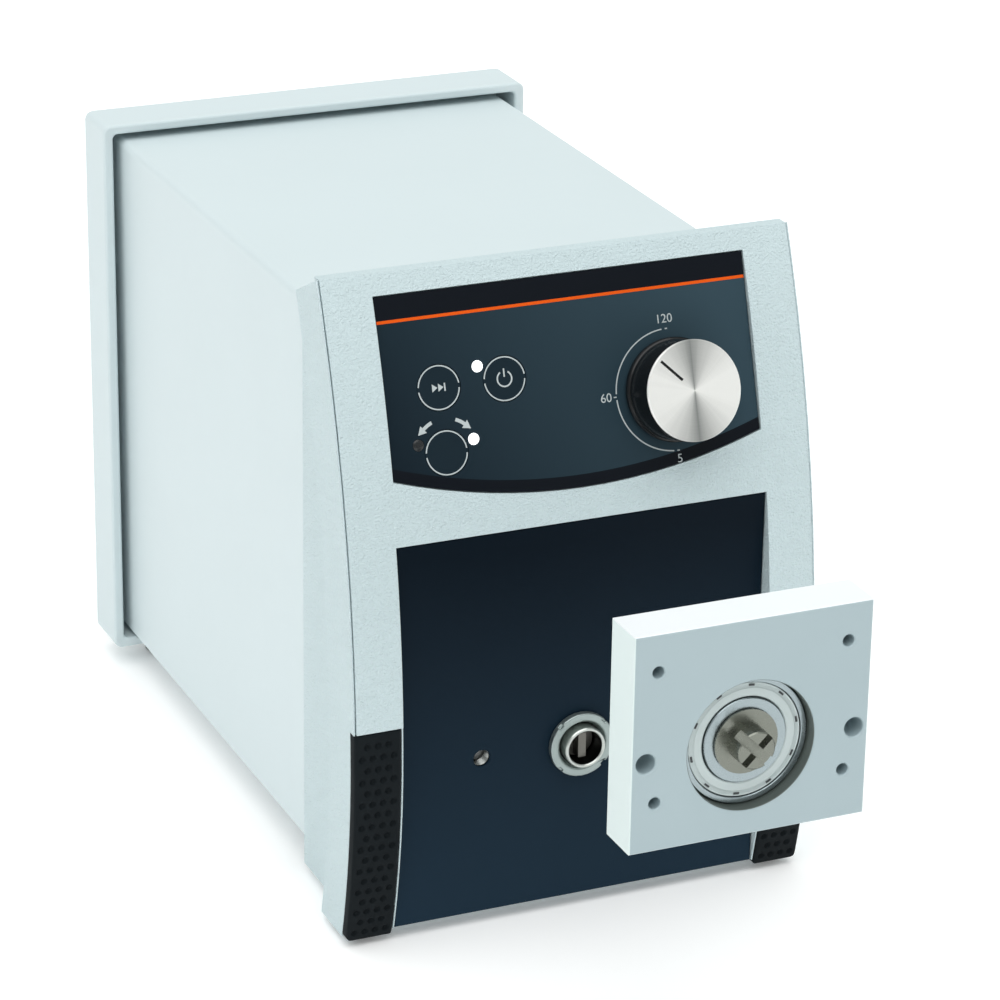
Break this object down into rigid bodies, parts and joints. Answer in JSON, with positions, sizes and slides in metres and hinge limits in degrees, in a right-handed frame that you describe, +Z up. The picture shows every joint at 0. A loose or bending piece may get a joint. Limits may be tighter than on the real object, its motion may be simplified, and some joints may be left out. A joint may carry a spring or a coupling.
{
  "type": "peristaltic pump drive",
  "caption": "Bench peristaltic pump drive with a curved grey front, rubber pads, dark control panel with speed knob and keys, drive socket, and a separate pump head adapter plate.",
  "frame": {"origin": "centre of the whole bounding box's base, on the bench plane, with the adapter plate in its drawn-out position", "axes": "+X to the right when facing the control panel, +Y from the front panel to the rear, +Z up"},
  "size_m": [0.166, 0.388, 0.2245],
  "materials": {
    "grey_paint": "smooth light grey enamel",
    "grey_plastic": "fine-grained light grey moulding",
    "rubber": "matt black",
    "navy_paint": "satin navy powder coat",
    "panel_film": "printed film",
    "black_plastic": "satin black",
    "aluminium": "turned",
    "plate_aluminium": "bead-blasted and anodised",
    "steel": "machined",
    "brass": "machined",
    "clear_lens": "clear light guide",
    "board_green": "solder-masked board",
    "copper_varnish": "varnished windings and laminations"
  },
  "bodies": {
    "chassis": {"base_tray": "grey_paint", "control_board": "board_green", "control_panel": "panel_film", "drive_motor": "steel", "fan_frame": "black_plastic", "filter_capacitor": "black_plastic", "front_bezel": "grey_plastic", "front_fascia": "grey_plastic", "gearbox_front_plate": "aluminium", "gearbox_rear_plate": "aluminium", "housing_cover": "grey_paint", "left_grip_pad": "rubber", "left_rear_foot": "rubber", "left_thread_insert": "steel", "left_turn_lamp": "clear_lens", "mains_inlet": "black_plastic", "motor_driver_board": "board_green", "mounting_panel": "navy_paint", "output_flange": "aluminium", "output_front_bearing": "steel", "output_rear_bearing": "steel", "power_lamp": "clear_lens", "power_supply_board": "board_green", "power_switch_frame": "black_plastic", "rear_frame": "grey_plastic", "rear_panel": "grey_paint", "rear_screw_lower_left": "steel", "rear_screw_lower_right": "steel", "rear_screw_upper_left": "steel", "rear_screw_upper_right": "steel", "remote_socket": "steel", "right_grip_pad": "rubber", "right_rear_foot": "rubber", "right_thread_insert": "steel", "right_turn_lamp": "clear_lens", "speed_encoder": "steel", "supply_heat_sink": "aluminium", "supply_transformer": "copper_varnish"},
    "speed_knob": {"knob_shaft": "steel", "knob_body": "black_plastic", "knob_cap": "aluminium"},
    "max_button": {"max_key": "panel_film"},
    "power_button": {"power_key": "panel_film"},
    "direction_button": {"direction_key": "panel_film"},
    "mains_rocker": {"power_rocker": "black_plastic"},
    "fuse_carrier": {"fuse_drawer": "black_plastic"},
    "fan": {"fan_rotor": "black_plastic"},
    "output_train": {"output_sleeve": "steel", "output_shaft": "steel", "output_gear": "steel"},
    "idler": {"idler_pinion_shaft": "steel", "idler_gear": "brass"},
    "motor_rotor": {"motor_pinion_shaft": "steel"},
    "adapter": {"adapter_plate": "plate_aluminium", "bearing_outer_race": "steel", "bearing_front_shield": "steel", "bearing_rear_shield": "steel"},
    "adapter_coupling": {"bearing_inner_race": "steel", "adapter_spindle": "steel"}
  },
  "joints": [
    {"name": "knob_turn", "type": "hinge", "parent": "chassis", "child": "speed_knob", "pos_m": [0.035, -0.05808, 0.17752], "axis": [0, 0.9516, -0.3074], "range_deg": [-135, 45]},
    {"name": "max_key_press", "type": "slide", "parent": "chassis", "child": "max_button", "axis": [0, 0.9516, -0.3074], "range_m": [0, 0.0008], "stiffness_N_per_m": 300, "springref_m": -0.001},
    {"name": "power_key_press", "type": "slide", "parent": "chassis", "child": "power_button", "axis": [0, 0.9516, -0.3074], "range_m": [0, 0.0008], "stiffness_N_per_m": 300, "springref_m": -0.001},
    {"name": "direction_key_press", "type": "slide", "parent": "chassis", "child": "direction_button", "axis": [0, 0.9516, -0.3074], "range_m": [0, 0.0008], "stiffness_N_per_m": 300, "springref_m": -0.001},
    {"name": "mains_rocker_tilt", "type": "hinge", "parent": "chassis", "child": "mains_rocker", "pos_m": [-0.04, 0.1886, 0.045], "axis": [1, 0, 0], "range_deg": [-16, 0]},
    {"name": "fuse_drawer_slide", "type": "slide", "parent": "chassis", "child": "fuse_carrier", "axis": [0, 1, 0], "range_m": [0, 0.015]},
    {"name": "fan_spin", "type": "hinge", "parent": "chassis", "child": "fan", "pos_m": [0, 0.181, 0.165], "axis": [0, 1, 0], "continuous": true},
    {"name": "output_spin", "type": "hinge", "parent": "chassis", "child": "output_train", "pos_m": [0, -0.068, 0.061], "axis": [0, 1, 0], "continuous": true},
    {"name": "idler_spin", "type": "hinge", "parent": "chassis", "child": "idler", "pos_m": [-0.018, -0.068, 0.085], "axis": [0, 1, 0], "continuous": true},
    {"name": "motor_spin", "type": "hinge", "parent": "chassis", "child": "motor_rotor", "pos_m": [0, -0.068, 0.109], "axis": [0, 1, 0], "continuous": true},
    {"name": "adapter_slide", "type": "slide", "parent": "chassis", "child": "adapter", "axis": [0, 0.8934, -0.4493], "range_m": [0, 0.11775]},
    {"name": "adapter_spin", "type": "hinge", "parent": "adapter", "child": "adapter_coupling", "pos_m": [0, -0.19, 0.1139], "axis": [0, 1, 0], "continuous": true}
  ],
  "couplings": [
    {"joint": "idler_spin", "follows": "output_spin", "ratio": -3},
    {"joint": "motor_spin", "follows": "output_spin", "ratio": 9},
    {"joint": "adapter_spin", "follows": "output_spin", "ratio": 1}
  ]
}
